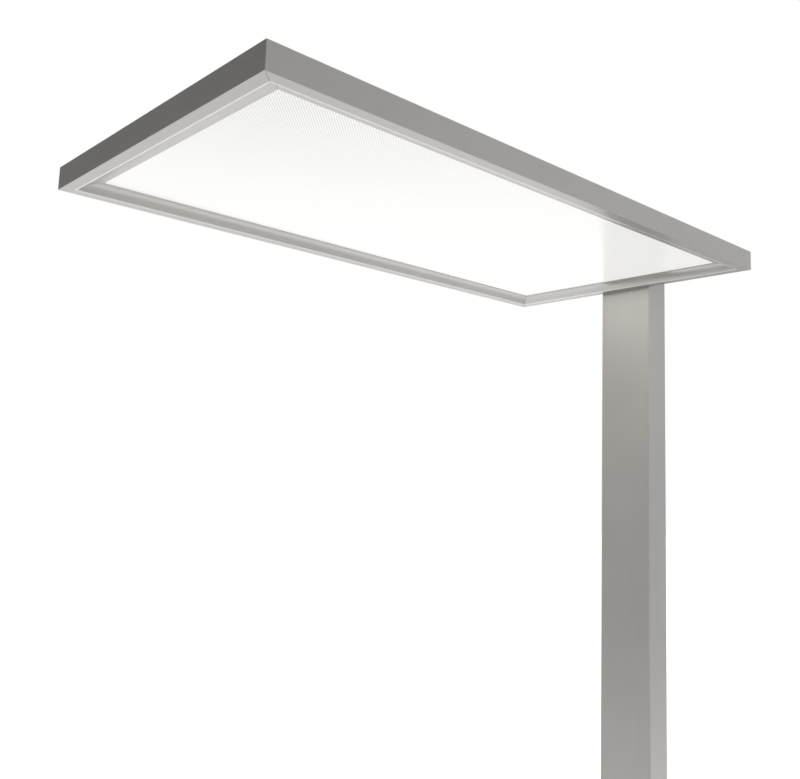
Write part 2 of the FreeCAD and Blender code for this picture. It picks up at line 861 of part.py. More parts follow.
driver_top = driver_bottom + driver_length
driver_middle_x = tray_front + driver_depth / 2
lug_screw_heights = [driver_bottom - driver_lug_length / 2,
                     driver_top + driver_lug_length / 2]
lug_screw_seats = [V(tray_front + driver_lug_thickness, driver_width / 4, z)
                   for z in lug_screw_heights]
lug_screw_length = driver_lug_thickness + tray_thickness - fit_clearance
BACKWARD = V(-1, 0, 0)
lug_holes = [screw_hole(seat, BACKWARD, m2_5, lug_screw_length - fit_clearance)
             for seat in lug_screw_seats]


def driver_tray():
    """Steel strip on the post's rear wall that carries the driver."""
    tray = box((-inner_front, tray_front), centred(0, tray_width), tray_z)
    return cut_all(tray, tray_holes + lug_holes)


def tray_nut(seat):
    """Round clinch nut on the tray's face."""
    start = V(tray_front, seat.y, seat.z)
    return Part.makeCylinder(nut_radius, nut_height, start, FORWARD)


def led_driver():
    """Long slim power supply with a fixing lug at each end."""
    case = rounded_block((tray_front, tray_front + driver_depth), centred(0, driver_width),
                         (driver_bottom, driver_top), driver_edge_radius, UP)
    lugs = box((tray_front, tray_front + driver_lug_thickness), centred(0, driver_width),
               (driver_bottom - driver_lug_length, driver_top + driver_lug_length))
    return cut_all(case.fuse(lugs).removeSplitter(), lug_holes)


save("driver_tray", driver_tray())
save("tray_nuts", *[cut_all(tray_nut(seat), tray_holes) for seat in tray_seats])
save("tray_screws", *[screw(seat, FORWARD, m4, tray_screw_length) for seat in tray_seats])
save("led_driver", led_driver())
save("driver_screws", *[screw(seat, BACKWARD, m2_5, lug_screw_length)
                        for seat in lug_screw_seats])


# ---------------------------------------------------------------------------
# Push buttons and their panel
# ---------------------------------------------------------------------------

bezel_face = post_front + bezel_thickness
board_front = post_front - skirt_depth
board_back = board_front - board_thickness
switch_front = board_front + switch_height
button_heights = {"power": control_height + button_spacing / 2,
                  "dim": control_height - button_spacing / 2}
boss_heights = [control_height - board_boss_rise, control_height + board_boss_rise]
board_screw_seats = [V(board_back, 0, z) for z in boss_heights]
board_holes = [screw_hole(seat, FORWARD, m2, board_screw_length)
               for seat in board_screw_seats]


def control_bezel():
    """Moulded frame with a skirt through the post's wall and a snap on each side."""
    plate = rounded_block((post_front, bezel_face), centred(0, bezel_width),
                          centred(control_height, bezel_height), bezel_edge_radius, FORWARD)
    skirt = box((board_front, post_front), centred(0, skirt_width),
                centred(control_height, skirt_height))
    hollow = box((board_front - cut_margin, post_front), centred(0, skirt_width - skirt_wall * 2),
                 centred(control_height, skirt_height - skirt_wall * 2))
    snap_x = (inner_front - fit_clearance - snap_depth, inner_front - fit_clearance)
    snaps = box(snap_x, centred(0, skirt_width + snap_proud * 2),
                centred(control_height, snap_height))
    bosses = [Part.makeCylinder(board_boss_radius, skirt_depth, V(board_front, 0, z), FORWARD)
              for z in boss_heights]
    openings = [rounded_block((post_front - cut_margin, bezel_face + cut_margin),
                              centred(0, button_side + button_gap * 2),
                              centred(z, button_side + button_gap * 2),
                              button_corner_radius + button_gap, FORWARD)
                for z in button_heights.values()]
    shell = plate.fuse(skirt).fuse(snaps).cut(hollow)
    for boss in bosses:
        shell = shell.fuse(boss)
    return cut_all(shell, openings + board_holes)


def button(z):
    """Square push button with a flange that stops it behind the bezel."""
    plunger_front = switch_front + plunger_rise
    cap = rounded_block((plunger_front, bezel_face + button_proud), centred(0, button_side),
                        centred(z, button_side), button_corner_radius, FORWARD)
    flange_front = post_front - slot_clearance
    flange_side = button_side + (button_gap + button_flange) * 2
    flange = box((flange_front - button_flange_thickness, flange_front),
                 centred(0, flange_side), centred(z, flange_side))
    face_edges = [edge for edge in cap.Edges
                  if all(vertex.X > bezel_face for vertex in edge.Vertexes)]
    return cap.makeFillet(button_proud / 2, face_edges).fuse(flange)


def switch_housing(z):
    """Small square switch on the board, with a well for its plunger."""
    well_depth = plunger_depth + button_travel + fit_clearance * 2
    block = box((board_front, switch_front), centred(0, switch_side), centred(z, switch_side))
    well = Part.makeCylinder(plunger_radius + screw_clearance, well_depth + cut_margin,
                             V(switch_front - well_depth, 0, z), FORWARD)
    return block.cut(well)


def plunger(z):
    """Round plunger that the button pushes into the switch."""
    return Part.makeCylinder(plunger_radius, plunger_depth + plunger_rise,
                             V(switch_front - plunger_depth, 0, z), FORWARD)


control_board = box((board_back, board_front), centred(0, skirt_width),
                    centred(control_height, skirt_height))
save("control_bezel", control_bezel())
save("control_board", cut_all(control_board, board_holes))
save("board_screws", *[screw(seat, FORWARD, m2, board_screw_length)
                       for seat in board_screw_seats])
save("switch_housings", *[switch_housing(z) for z in button_heights.values()])
for use, height in button_heights.items():
    save("button_" + use, button(height))
    save("plunger_" + use, plunger(height))


# ---------------------------------------------------------------------------
# Leads, clips and the head's connector
# ---------------------------------------------------------------------------

mains_x = inlet_back + boot_depth / 2 + fit_clearance
boot_top = inlet_z + boot_height / 2
mains_points = [V(mains_x, 0, boot_top),
                V(mains_x, 0, driver_bottom - mains_bend_drops[0]),
                V(driver_middle_x, 0, driver_bottom - mains_bend_drops[1]),
                V(driver_middle_x, 0, driver_bottom)]
save("mains_lead", lead("mains_lead", mains_points, mains_lead_diameter))

led_rear_x = -inner_front + led_clip_base + led_lead_diameter / 2
lead_level = head_bottom + back_plate_top + led_lead_diameter / 2 + screw_clearance
led_points = [V(driver_middle_x, led_exit_y, driver_top),
              V(driver_middle_x, led_exit_y, driver_top + led_bend_rises[0]),
              V(led_rear_x, led_rear_y, driver_top + led_bend_rises[1]),
              V(led_rear_x, led_rear_y, post_top - led_bend_drops[0]),
              V(led_top_x, led_lead_y, post_top - led_bend_drops[1]),
              V(led_top_x, led_lead_y, lead_level),
              V(head_start + connector_start, led_lead_y, lead_level)]
save("led_lead", lead("led_lead", led_points, led_lead_diameter, led_lead_head_bend))

board_middle_x = (board_back + board_front) / 2
board_bottom = control_height - skirt_height / 2
control_points = [V(board_middle_x, control_exit_y, board_bottom),
                  V(board_middle_x, control_exit_y, board_bottom - control_bend_drop),
                  V(driver_middle_x, control_exit_y, driver_top + control_bend_rise),
                  V(driver_middle_x, control_exit_y, driver_top)]
save("control_lead", lead("control_lead", control_points, control_lead_diameter))


def lead_clip(wall_x, lead_x, lead_y, z, diameter):
    """Clip that stands on a wall of the post and holds a lead."""
    bore = diameter / 2 + screw_clearance
    past_lead = math.copysign(bore + clip_wall, lead_x - wall_x)
    block = box((wall_x, lead_x + past_lead), centred(lead_y, bore * 2 + clip_wall * 2),
                centred(z, clip_height))
    return block.cut(Part.makeCylinder(bore, clip_height, V(lead_x, lead_y, z - clip_height / 2),
                                       UP))


mains_clip_pitch = (mains_points[1].z - boot_top) / (mains_clip_count + 1)
mains_clips = [lead_clip(inner_front, mains_x, 0, boot_top + mains_clip_pitch * (index + 1),
                         mains_lead_diameter) for index in range(mains_clip_count)]
led_clips = [lead_clip(-inner_front, led_rear_x, led_rear_y, post_top - drop,
                       led_lead_diameter) for drop in led_clip_drops]
save("lead_clips", *(mains_clips + led_clips))

connector_x = (head_start + connector_start,
               head_start + connector_start + connector_length)
connector_y = centred(led_lead_y, connector_width)
wire_level = head_bottom + back_plate_top + wire_diameter / 2 + screw_clearance
save("head_connector", box(connector_x, connector_y,
                           (head_bottom + back_plate_top,
                            head_bottom + back_plate_top + connector_height)))


def wire(start, end):
    """Straight insulated wire between two faces."""
    return Part.makeCylinder(wire_diameter / 2, (end - start).Length, start, end - start)


wire_x = sum(connector_x) / 2
strip_face = head_half - frame_wall - strip_board_thickness
feed_ys = [led_lead_y - feed_half_spacing, led_lead_y + feed_half_spacing]
wires = [wire(V(wire_x, connector_y[1], wire_level), V(wire_x, strip_face, wire_level)),
         wire(V(wire_x, connector_y[0], wire_level), V(wire_x, -strip_face, wire_level))]
wires += [wire(V(connector_x[1], y, wire_level), V(uplight_x[0], y, wire_level))
          for y in feed_ys]
save("head_wires", *wires)
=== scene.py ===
import json
import math

import bmesh
import bpy
from mathutils import Euler, Matrix, Vector

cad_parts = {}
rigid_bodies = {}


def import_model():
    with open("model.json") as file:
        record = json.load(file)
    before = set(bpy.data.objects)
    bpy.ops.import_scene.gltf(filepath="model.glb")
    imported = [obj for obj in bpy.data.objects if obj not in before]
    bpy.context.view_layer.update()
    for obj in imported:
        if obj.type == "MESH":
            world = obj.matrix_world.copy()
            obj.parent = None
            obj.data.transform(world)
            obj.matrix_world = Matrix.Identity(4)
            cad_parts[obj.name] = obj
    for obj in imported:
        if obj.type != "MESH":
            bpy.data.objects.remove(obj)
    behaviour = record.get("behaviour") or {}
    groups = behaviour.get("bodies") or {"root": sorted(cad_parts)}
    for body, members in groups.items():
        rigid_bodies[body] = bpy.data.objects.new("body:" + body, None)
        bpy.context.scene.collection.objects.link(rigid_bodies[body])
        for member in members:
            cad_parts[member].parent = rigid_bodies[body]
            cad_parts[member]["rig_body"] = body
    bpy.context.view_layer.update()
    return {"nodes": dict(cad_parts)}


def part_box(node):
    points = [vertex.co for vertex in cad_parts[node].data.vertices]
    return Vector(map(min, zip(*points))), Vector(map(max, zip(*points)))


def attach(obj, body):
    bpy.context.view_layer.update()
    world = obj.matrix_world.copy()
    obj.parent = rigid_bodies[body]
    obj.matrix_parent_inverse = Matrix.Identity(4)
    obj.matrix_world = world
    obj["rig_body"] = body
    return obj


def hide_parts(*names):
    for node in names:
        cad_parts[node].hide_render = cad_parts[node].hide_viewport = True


# An office floor lamp: a flat light head on a slim upright post and a heavy base plate.
# Lengths are in metres. X points from the post to the head's free end and Z points up.
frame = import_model()
nodes = frame["nodes"]

# ---------------------------------------------------------------------------
# Camera: the eye is below the head and outside its near corner, looking slightly up
# along the head towards the post, so that the verticals run almost straight.
# ---------------------------------------------------------------------------

eye = (0.9301, 0.6048, 1.6782)
eye_turn = (97.5796, -1.7552, 136.2321)
lens_length = 39.098
sensor_width = 36.0
frame_shift = (-0.034645, -0.023536)

camera_data = bpy.data.cameras.new("photo_camera")
camera_data.lens = lens_length
camera_data.sensor_width = sensor_width
camera_data.sensor_fit = "HORIZONTAL"
camera_data.shift_x, camera_data.shift_y = frame_shift
camera_data.clip_start = 0.01
camera = bpy.data.objects.new("photo_camera", camera_data)
camera.location = eye
camera.rotation_euler = Euler([math.radians(angle) for angle in eye_turn])
bpy.context.scene.collection.objects.link(camera)
bpy.context.scene.camera = camera

# ---------------------------------------------------------------------------
# Underlay: a die-cut sheet of black rubber under the base plate. It stands in from the
# plate's edge, so that only a dark shadow line shows above the floor.
# ---------------------------------------------------------------------------

MM = 0.001
underlay_corner = 6 * MM
# A grain is drawn with a noise that keeps mostly within its span. Clouds as wide as this
# many grains are added to it, and where their sum lies in the blend sets the colour.
noise_span = (0.3, 0.7)
grains_in_cloud = 90
grain_blend = (0.7, 1.3)
# An edge runs along an axis when this share of its length does. Where two faces turn by
# more than the angle, their edge is a real one.
along_share = 0.999
real_edge = math.radians(32)


def linear(colour):
    """Linear RGBA of an sRGB hex colour."""
    parts = [int(colour[start:start + 2], 16) / 255 for start in (1, 3, 5)]
    return [part / 12.92 if part <= 0.04045 else ((part + 0.055) / 1.055) ** 2.4
            for part in parts] + [1.0]


def add(tree, kind, inputs=None, **settings):
    """Add one shader node with its settings, and set or link its inputs."""
    node = tree.nodes.new(kind)
    for setting, value in settings.items():
        setattr(node, setting, value)
    for socket, value in (inputs or {}).items():
        if isinstance(value, bpy.types.NodeSocket):
            tree.links.new(value, node.inputs[socket])
        else:
            node.inputs[socket].default_value = value
    return node


def plain_finish(name, shader_inputs):
    """New material, its tree and its Principled shader with the plain inputs set."""
    material = bpy.data.materials.new(name)
    material.use_nodes = True
    shader = material.node_tree.nodes["Principled BSDF"]
    for socket, value in shader_inputs.items():
        shader.inputs[socket].default_value = value
    return material, material.node_tree, shader


def grained(name, light, dark, grain, depth, roughness, **shader_inputs):
    """Even finish with a fine grain: two close colours, uneven gloss and a low relief.

    The grain is its real width, the depth is the relief's height, and roughness is the
    pair of limits that the grain moves the gloss between.
    """
    material, tree, shader = plain_finish(name, shader_inputs)
    place = add(tree, "ShaderNodeTexCoord").outputs["Object"]
    noise = add(tree, "ShaderNodeTexNoise",
                {"Vector": place, "Scale": 1 / grain, "Detail": 3.0, "Roughness": 0.6})
    cloud = add(tree, "ShaderNodeTexNoise",
                {"Vector": place, "Scale": 1 / (grain * grains_in_cloud), "Detail": 2.0})
    blend = add(tree, "ShaderNodeMath", {0: noise.outputs["Fac"], 1: cloud.outputs["Fac"]},
                operation="ADD")
    share = add(tree, "ShaderNodeMapRange",
                {"Value": blend.outputs[0], "From Min": grain_blend[0],
                 "From Max": grain_blend[1]})
    colour = add(tree, "ShaderNodeMix",
                 {0: share.outputs[0], 6: linear(dark), 7: linear(light)}, data_type="RGBA")
    gloss = add(tree, "ShaderNodeMapRange",
                {"Value": noise.outputs["Fac"], "From Min": noise_span[0],
                 "From Max": noise_span[1], "To Min": roughness[0], "To Max": roughness[1]})
    relief = add(tree, "ShaderNodeBump", {"Height": noise.outputs["Fac"], "Distance": depth})
    tree.links.new(colour.outputs[2], shader.inputs["Base Color"])
    tree.links.new(gloss.outputs[0], shader.inputs["Roughness"])
    tree.links.new(relief.outputs[0], shader.inputs["Normal"])
    return material


def block(low, high):
    """Bmesh of a block between two corners."""
    bm = bmesh.new()
    size = Vector(high) - Vector(low)
    middle = (Vector(high) + Vector(low)) / 2
    bmesh.ops.create_cube(bm, size=1.0,
                          matrix=Matrix.Translation(middle) @ Matrix.Diagonal(size).to_4x4())
    return bm


def edges_along(bm, axis):
    """Edges that run along the axis x, y or z."""
    found = []
    for edge in bm.edges:
        run = edge.verts[0].co - edge.verts[1].co
        if abs(getattr(run, axis)) > along_share * run.length:
            found.append(edge)
    return found


def soften(bm, edges, radius, segments):
    """Round some edges."""
    bmesh.ops.bevel(bm, geom=edges, offset=radius, offset_type="OFFSET", segments=segments,
                    profile=0.5, affect="EDGES", material=-1)


def make_piece(bm, name, material, body, slot, *replaced):
    """Turn a bmesh into a piece that is shaded smooth up to its real edges."""
    mesh = bpy.data.meshes.new(name)
    bmesh.ops.recalc_face_normals(bm, faces=bm.faces[:])
    bm.to_mesh(mesh)
    bm.free()
    mesh.shade_smooth()
    mesh.set_sharp_from_angle(angle=real_edge)
    mesh.materials.append(material)
    piece = bpy.data.objects.new(name, mesh)
    bpy.context.scene.collection.objects.link(piece)
    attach(piece, body)
    if replaced:
        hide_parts(*replaced)
    flat_faces = piece.modifiers.new("flat_faces", "WEIGHTED_NORMAL")
    flat_faces.keep_sharp = True
    return piece


# Calendered rubber: near black and dull, with a fine fabric-like skin that scatters light.
calendered_rubber = grained("calendered_rubber", "#2b2b2a", "#1d1d1c",
                            grain=0.8 * MM, depth=0.05 * MM, roughness=(0.75, 0.9))

underlay = block(*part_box("base_underlay"))
soften(underlay, edges_along(underlay, "z"), underlay_corner, segments=8)
make_piece(underlay, "underlay_sheet", calendered_rubber, "lamp", "underlay_rubber",
           "base_underlay")

# ---------------------------------------------------------------------------
# Base plate: a 10 mm steel plate with rounded corners, flame cut and ground, then coated.
# Four bolts from beneath hold the foot block that the post is slid over.
# ---------------------------------------------------------------------------

base_corner = 8 * MM
base_edge = 0.8 * MM
level_tolerance = 0.001 * MM


def edges_at(bm, axis, level):
    """Edges that lie in a plane across the axis x, y or z."""
    return [edge for edge in bm.edges
            if all(abs(getattr(vert.co, axis) - level) < level_tolerance
                   for vert in edge.verts)]


def coat(material, *names):
    """Give CAD nodes whose shape is right their finish."""
    for name in names:
        mesh = nodes[name].data
        mesh.materials.clear()
        mesh.materials.append(material)


# Fine-texture powder coat: an even warm grey whose tiny bumps break up the highlights.
powder_coated_steel = grained("powder_coated_steel", "#adaba7", "#a3a19d",
                              grain=0.9 * MM, depth=0.04 * MM,
                              roughness=(0.48, 0.6), Metallic=0.15)
# Zinc plating: bluish grey with a faint cloudiness from the bath, fairly bright.
zinc_plated_steel = grained("zinc_plated_steel", "#c3c6c9", "#a9adb1",
                            grain=0.5 * MM, depth=0.01 * MM, roughness=(0.28, 0.42), Metallic=1.0)

base_low, base_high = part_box("base_plate")
base = block(base_low, base_high)
soften(base, edges_along(base, "z"), base_corner, segments=10)
soften(base, edges_at(base, "z", base_high.z), base_edge, segments=4)
make_piece(base, "base_plate_coated", powder_coated_steel, "lamp", "coated_steel_base",
           "base_plate")
coat(zinc_plated_steel, "foot_block", "foot_bolts")

# ---------------------------------------------------------------------------
# Post: an extruded rectangular aluminium tube, drawn, cut to length and anodised. It is
# slid over the foot block and held by two screws from behind, and a cap closes its top.
# ---------------------------------------------------------------------------

die_line = 1.1 * MM
die_line_reach = 600 * MM
die_line_depth = 0.003 * MM
anodised_light = "#b8b6b4"
anodised_dark = "#b1afad"
anodised_roughness = (0.29, 0.35)
anodised_cloud = 70 * MM
anodised_blend = (0.6, 1.4)
weld_distance = 0.001 * MM


def anodised(axis):
    """Satin anodised aluminium: a soft warm silver grey with faint lines along the bar.

    The die leaves lines a few hundredths of a millimetre wide. They are drawn about a
    millimetre wide, so that they still show from a step away.
    """
    material, tree, shader = plain_finish("satin_anodised_aluminium_" + axis,
                                          {"Metallic": 0.6})
    across = 1 / die_line
    along = 1 / die_line_reach
    scale = [along if axis == letter else across for letter in "xyz"]
    place = add(tree, "ShaderNodeTexCoord").outputs["Object"]
    drawn = add(tree, "ShaderNodeMapping", {"Vector": place, "Scale": scale})
    lines = add(tree, "ShaderNodeTexNoise",
                {"Vector": drawn.outputs[0], "Scale": 1.0, "Detail": 2.0, "Roughness": 0.5})
    cloud = add(tree, "ShaderNodeTexNoise",
                {"Vector": place, "Scale": 1 / anodised_cloud, "Detail": 3.0,
                 "Roughness": 0.5})
    blend = add(tree, "ShaderNodeMath", {0: lines.outputs["Fac"], 1: cloud.outputs["Fac"]},
                operation="ADD")
    share = add(tree, "ShaderNodeMapRange",
                {"Value": blend.outputs[0], "From Min": anodised_blend[0],
                 "From Max": anodised_blend[1]})
    colour = add(tree, "ShaderNodeMix",
                 {0: share.outputs[0], 6: linear(anodised_dark), 7: linear(anodised_light)},
                 data_type="RGBA")
    gloss = add(tree, "ShaderNodeMapRange",
                {"Value": lines.outputs["Fac"], "From Min": noise_span[0],
                 "From Max": noise_span[1], "To Min": anodised_roughness[0],
                 "To Max": anodised_roughness[1]})
    relief = add(tree, "ShaderNodeBump",
                 {"Height": lines.outputs["Fac"], "Distance": die_line_depth})
    tree.links.new(colour.outputs[2], shader.inputs["Base Color"])
    tree.links.new(gloss.outputs[0], shader.inputs["Roughness"])
    tree.links.new(relief.outputs[0], shader.inputs["Normal"])
    return material


def smoothed(node, name, material, slot):
    """Merged copy of a CAD node whose shape is right, so that its curves shade smooth."""
    bm = bmesh.new()
    bm.from_mesh(nodes[node].data)
    bmesh.ops.remove_doubles(bm, verts=bm.verts[:], dist=weld_distance)
    return make_piece(bm, name, material, nodes[node]["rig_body"], slot, node)


# Mill-finish aluminium: brighter and colder than the anodised bars, with rolling marks.
mill_aluminium = grained("mill_finish_aluminium", "#d3d4d5", "#bfc0c2",
                         grain=0.7 * MM, depth=0.01 * MM, roughness=(0.3, 0.42), Metallic=1.0)

anodised_upright = anodised("z")
smoothed("post_tube", "post_tube_anodised", anodised_upright, "anodised_aluminium")
smoothed("post_cap", "post_cap_anodised", anodised_upright, "anodised_aluminium")
coat(mill_aluminium, "post_top_block")
coat(zinc_plated_steel, "foot_side_screws", "cap_screws", "head_clamp_screws")

# ---------------------------------------------------------------------------
# Driver: the power supply in its drawn aluminium case, on a steel tray that two screws
# and clinch nuts hold to the post's rear wall.
# ---------------------------------------------------------------------------

coat(mill_aluminium, "led_driver")
coat(zinc_plated_steel, "driver_tray", "tray_nuts", "tray_screws", "driver_screws")

# ---------------------------------------------------------------------------
# Mains inlet: a moulded black socket whose flange is screwed to the post's rear face, with
# three plated pins pushed through it and an insulating boot over their inner ends.
# ---------------------------------------------------------------------------

# Glass-filled nylon: black with a slightly grey, uneven sheen from the fibres.
moulded_nylon = grained("moulded_nylon", "#232323", "#171717",
                        grain=0.6 * MM, depth=0.02 * MM, roughness=(0.42, 0.55))
# Nickel-plated brass: bright, faintly yellow and smooth from the plating bath.
nickel_plated_brass = grained("nickel_plated_brass", "#d9d4c6", "#c8c2b2",
                              grain=0.5 * MM, depth=0.004 * MM,
                              roughness=(0.18, 0.28), Metallic=1.0)

smoothed("inlet_body", "inlet_moulding", moulded_nylon, "black_nylon")
coat(moulded_nylon, "inlet_boot")
coat(nickel_plated_brass, "inlet_pins")
coat(zinc_plated_steel, "inlet_screws")

# ---------------------------------------------------------------------------
# Push buttons: two moulded caps in a bezel that snaps into the post's front wall, over a
# circuit board with their switches. A flange keeps each cap behind the bezel, its face is
# dished for the finger tip, and a raised sign tells the switch from the dimmer.
# ---------------------------------------------------------------------------

cap_side = 16 * MM
cap_corner = 2.5 * MM
cap_edge = 0.5 * MM
flange_front = 18.3 * MM
flange_thickness = 1 * MM
dish_rim = 1.2 * MM
dish_slope = 1 * MM
dish_depth = 0.3 * MM
sign_width = 0.8 * MM
sign_thickness = 0.3 * MM
ring_radius = 2.8 * MM
ring_gap = math.radians(70)
disc_radius = 1.4 * MM
ray_start = 2.2 * MM
ray_length = 1.3 * MM
ray_count = 8
bezel_edge = 0.3 * MM
bezel_turn = math.radians(60)
quarter_turn = math.radians(90)

# Moulded graphite plastic: a fine spark-eroded texture that keeps the frame dull.
moulded_graphite = grained("moulded_graphite_plastic", "#3b3c3e", "#303133",
                           grain=0.7 * MM, depth=0.02 * MM, roughness=(0.5, 0.62))
# Button plastic: lighter grey and smoother than its frame, so that it reads as a button.
moulded_button = grained("moulded_button_plastic", "#8d8e8f", "#828384",
                         grain=0.6 * MM, depth=0.008 * MM, roughness=(0.32, 0.4))
# Hard white paint on the raised signs, a little worn down to a dry surface.
sign_paint = grained("sign_paint", "#e9eaea", "#d9dbdb",
                     grain=0.4 * MM, depth=0.006 * MM, roughness=(0.45, 0.6))
# Solder mask over glass fibre: glossy white lacquer with the weave just showing.
circuit_board = grained("white_solder_mask", "#e9ebe8", "#dcdedb",
                        grain=0.8 * MM, depth=0.01 * MM, roughness=(0.25, 0.38))


def button_cap(node, name, body):
    """Square cap with its flange and dished face. Gives the middle of the dish."""
    low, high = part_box(node)
    centre = (low + high) / 2
    half = Vector((0, cap_side / 2, cap_side / 2))
    bm = block(Vector((low.x, centre.y, centre.z)) - half,
               Vector((flange_front - flange_thickness, centre.y, centre.z)) + half)
    soften(bm, edges_along(bm, "x"), cap_corner, segments=8)
    face = max(bm.faces, key=lambda face: face.calc_center_median().x)
    spread = (high.y - low.y) / cap_side
    # Out to the flange's rim, along it, in again to the cap's side and on to its face.
    for forward, widen in ((0, spread), (flange_thickness, 1), (0, 1 / spread),
                           (high.x - flange_front, 1)):
        face = bmesh.ops.extrude_discrete_faces(bm, faces=[face])["faces"][0]
        bmesh.ops.translate(bm, vec=(forward, 0, 0), verts=face.verts[:])
        bmesh.ops.scale(bm, vec=(1, widen, widen), space=Matrix.Translation(-centre),
                        verts=face.verts[:])
    outline = face.edges[:]
    bmesh.ops.inset_region(bm, faces=[face], thickness=dish_rim)
    bmesh.ops.inset_region(bm, faces=[face], thickness=dish_slope)
    bmesh.ops.translate(bm, vec=(-dish_depth, 0, 0), verts=face.verts[:])
    soften(bm, outline, cap_edge, segments=4)
    make_piece(bm, name, moulded_button, body, "button_plastic", node)
    return Vector((high.x - dish_depth, centre.y, centre.z))


def sign_bar(bm, centre, angle, start, length):
    """Short bar that points away from the button's centre."""
    place = (Matrix.Translation(centre) @ Matrix.Rotation(angle, 4, "X")
             @ Matrix.Translation((0, 0, start + length / 2))
             @ Matrix.Diagonal((sign_thickness, sign_width, length, 1)))
    bmesh.ops.create_cube(bm, size=1.0, matrix=place)


def power_sign(centre):
    """Open ring with an upright bar in its gap."""
    bm = bmesh.new()
    bmesh.ops.create_grid(bm, x_segments=1, y_segments=1, size=0.5, matrix=(
        Matrix.Translation(centre) @ Matrix.Rotation(ring_gap / 2, 4, "X")
        @ Matrix.Translation((0, 0, ring_radius)) @ Matrix.Rotation(quarter_turn, 4, "X")
        @ Matrix.Diagonal((sign_thickness, sign_width, 1, 1))))
    bmesh.ops.spin(bm, geom=bm.verts[:] + bm.edges[:] + bm.faces[:], cent=centre,
                   axis=(1, 0, 0), angle=math.tau - ring_gap, steps=36)
    sign_bar(bm, centre, 0, ring_radius - ray_length, ray_length * 2)
    return bm


def dimmer_sign(centre):
    """Disc with short rays round it."""
    bm = bmesh.new()
    bmesh.ops.create_cone(bm, cap_ends=True, cap_tris=False, segments=28, radius1=disc_radius,
                          radius2=disc_radius, depth=sign_thickness,
                          matrix=Matrix.Translation(centre)
                          @ Matrix.Rotation(quarter_turn, 4, "Y"))
    for step in range(ray_count):
        sign_bar(bm, centre, math.tau * step / ray_count, ray_start, ray_length)
    return bm


bezel = smoothed("control_bezel", "control_bezel_moulding", moulded_graphite,
                 "graphite_plastic")
moulded_edges = bezel.modifiers.new("moulded_edges", "BEVEL")
moulded_edges.width = bezel_edge
moulded_edges.segments = 2
moulded_edges.limit_method = "ANGLE"
moulded_edges.angle_limit = bezel_turn
# The edges are rounded first and shaded after.
bezel.modifiers.move(1, 0)
power_middle = button_cap("button_power", "power_button_cap", "power_button")
dim_middle = button_cap("button_dim", "dim_button_cap", "dim_button")
make_piece(power_sign(power_middle), "power_button_sign", sign_paint, "power_button",
           "button_plastic")
make_piece(dimmer_sign(dim_middle), "dim_button_sign", sign_paint, "dim_button",
           "button_plastic")
coat(circuit_board, "control_board")
coat(moulded_nylon, "switch_housings", "plunger_power", "plunger_dim")
coat(zinc_plated_steel, "board_screws")

# ---------------------------------------------------------------------------
# Leads: round cables with a smooth extruded jacket, from the inlet to the driver and from
# there to the buttons and the head. Nylon clips hold the two long ones to the post's inner
# walls, and four short wires run from the head's connector to its lights.
# ---------------------------------------------------------------------------

# Lead jacket: soft grey plastic, satin from the extruder.
lead_jacket = grained("extruded_lead_jacket", "#c9cac8", "#babbb9",
                      grain=0.8 * MM, depth=0.006 * MM, roughness=(0.38, 0.48))
# Mains jacket: the same kind of plastic in black.
mains_jacket = grained("extruded_mains_jacket", "#242424", "#1a1a1a",
                       grain=0.8 * MM, depth=0.006 * MM, roughness=(0.38, 0.5))
# White plastic of the connector: smooth and a little translucent on the real piece.
white_plastic = grained("moulded_white_plastic", "#eceae4", "#e0ded8",
                        grain=0.7 * MM, depth=0.006 * MM, roughness=(0.3, 0.4))

coat(lead_jacket, "led_lead", "control_lead", "head_wires")
coat(mains_jacket, "mains_lead")
coat(white_plastic, "head_connector")
coat(moulded_nylon, "lead_clips")

# ---------------------------------------------------------------------------
# Head frame: four bars of one anodised aluminium extrusion, mitred and joined by keys in
# their chambers. A concave cove runs from the flat rim to the panel. The rim's flat is
# painted a shade darker, a painted shade, and a painted highlight runs along its inner
# edge. A steel bracket clamped in the post carries the frame.
# ---------------------------------------------------------------------------

outer_edge = 0.4 * MM
# The rim's flat and the cove's slope would meet here if the edge between them were sharp.
rim_corner = 11.931 * MM
rim_round = 0.8 * MM
cove_tip = (28.5 * MM, 6.6 * MM)
cove_slope = math.radians(45)
cove_steps = 20
shelf_level = 7.4 * MM
bar_wall = 2 * MM
ledge_bottom = 18 * MM
ledge_top = 19.5 * MM
ledge_inset = 8 * MM
mitre_gap = 0.1 * MM
mitre_burr = 0.12 * MM
# Painted shade: the rim's downward flat is coloured a shade darker than the cove.
painted_shade_grey = "#aba9a8"
painted_shade_depth = (0.2 * MM, 0.5 * MM)
# Painted highlight: a light strip along the rim's inner edge, where its rounding catches the
# light.
painted_highlight_grey = "#d5d4d2"
highlight_width = 1.6 * MM
highlight_fade = 0.4 * MM
highlight_from_edge = 0.5 * MM

head_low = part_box("frame_side_right")[0]
head_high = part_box("frame_side_left")[1]
head_height = head_high.z - head_low.z


